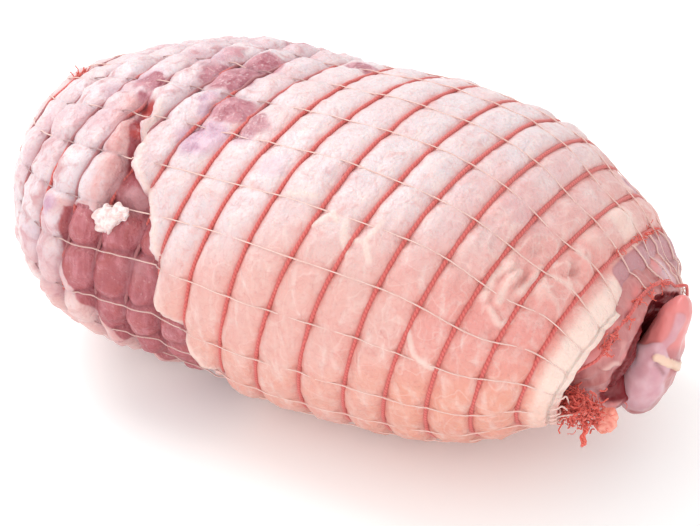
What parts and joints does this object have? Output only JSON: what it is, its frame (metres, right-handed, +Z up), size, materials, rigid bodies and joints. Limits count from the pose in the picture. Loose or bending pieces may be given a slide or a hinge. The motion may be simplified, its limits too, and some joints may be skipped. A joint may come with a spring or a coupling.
{
  "type": "raw boneless goat leg",
  "caption": "Raw boneless goat leg rolled into a roast, with a pale fat cover and an open cut end, held by an elastic net of red hoops and white lengthwise strings.",
  "frame": {"origin": "centre of the roll's box, on the table that its underside lies on", "axes": "+X along the roll toward the open cut end, +Y across it, +Z up"},
  "size_m": [0.2279, 0.1363, 0.0971],
  "materials": {
    "raw_meat": "moist raw fat and lean",
    "elastic": "thread-wrapped elastic",
    "thread": "plain twisted thread"
  },
  "bodies": {
    "root": {"meat": "raw_meat", "gather_hoop": "elastic", "hoop_01": "elastic", "hoop_02": "elastic", "hoop_03": "elastic", "hoop_04": "elastic", "hoop_05": "elastic", "hoop_06": "elastic", "hoop_07": "elastic", "hoop_08": "elastic", "hoop_09": "elastic", "hoop_10": "elastic", "hoop_11": "elastic", "hoop_12": "elastic", "hoop_13": "elastic", "hoop_14": "elastic", "hoop_15": "elastic", "hoop_16": "elastic", "end_hoop": "elastic", "net_tail": "elastic", "string_01": "thread", "string_02": "thread", "string_03": "thread", "string_04": "thread", "string_05": "thread", "string_06": "thread", "string_07": "thread", "string_08": "thread", "string_09": "thread", "string_10": "thread", "string_11": "thread", "string_12": "thread", "string_13": "thread", "string_14": "thread", "string_15": "thread", "string_16": "thread", "string_17": "thread", "string_18": "thread", "string_19": "thread", "string_20": "thread", "string_21": "thread", "string_22": "thread"}
  },
  "joints": []
}
